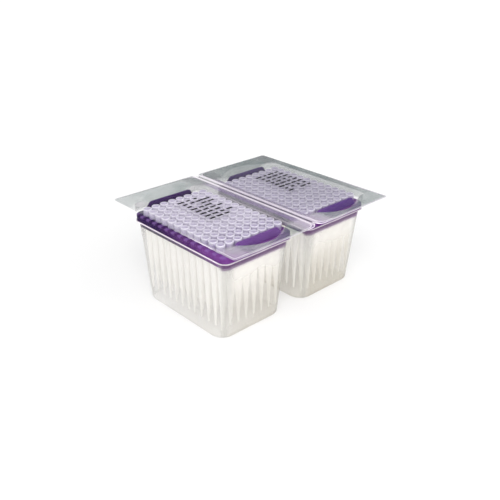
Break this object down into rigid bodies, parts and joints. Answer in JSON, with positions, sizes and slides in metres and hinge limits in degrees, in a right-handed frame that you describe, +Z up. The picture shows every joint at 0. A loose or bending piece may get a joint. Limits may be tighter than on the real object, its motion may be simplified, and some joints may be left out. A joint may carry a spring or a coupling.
{
  "type": "box of pipette tips",
  "caption": "Clear twin blister tray with two sealed tubs, each holding a perforated violet rack deck full of long pipette tips under a peel-off film.",
  "frame": {"origin": "middle of the flat base, on the surface the tray rests on", "axes": "+X across the two halves, square to the tear line; +Y along the tear line; +Z up, towards the films"},
  "size_m": [0.1868, 0.1636, 0.0912],
  "materials": {
    "tray_plastic": "clear thermoformed sheet, glossy, slightly milky where it is drawn thin",
    "lid_film": "clear peel film, glossy, faint haze, plain dark print",
    "deck_plastic": "violet moulded polypropylene, glossy",
    "tip_plastic": "translucent natural polypropylene, satin"
  },
  "bodies": {
    "root": {"blister_tray": "tray_plastic", "lid_film_left": "lid_film", "lid_film_right": "lid_film", "rack_deck_left": "deck_plastic", "rack_deck_right": "deck_plastic", "tips_left_row_01": "tip_plastic", "tips_left_row_02": "tip_plastic", "tips_left_row_03": "tip_plastic", "tips_left_row_04": "tip_plastic", "tips_left_row_05": "tip_plastic", "tips_left_row_06": "tip_plastic", "tips_left_row_07": "tip_plastic", "tips_left_row_08": "tip_plastic", "tips_left_row_09": "tip_plastic", "tips_left_row_10": "tip_plastic", "tips_left_row_11": "tip_plastic", "tips_left_row_12": "tip_plastic", "tips_right_row_01": "tip_plastic", "tips_right_row_02": "tip_plastic", "tips_right_row_03": "tip_plastic", "tips_right_row_04": "tip_plastic", "tips_right_row_05": "tip_plastic", "tips_right_row_06": "tip_plastic", "tips_right_row_07": "tip_plastic", "tips_right_row_08": "tip_plastic", "tips_right_row_09": "tip_plastic", "tips_right_row_10": "tip_plastic", "tips_right_row_11": "tip_plastic", "tips_right_row_12": "tip_plastic"}
  },
  "joints": []
}
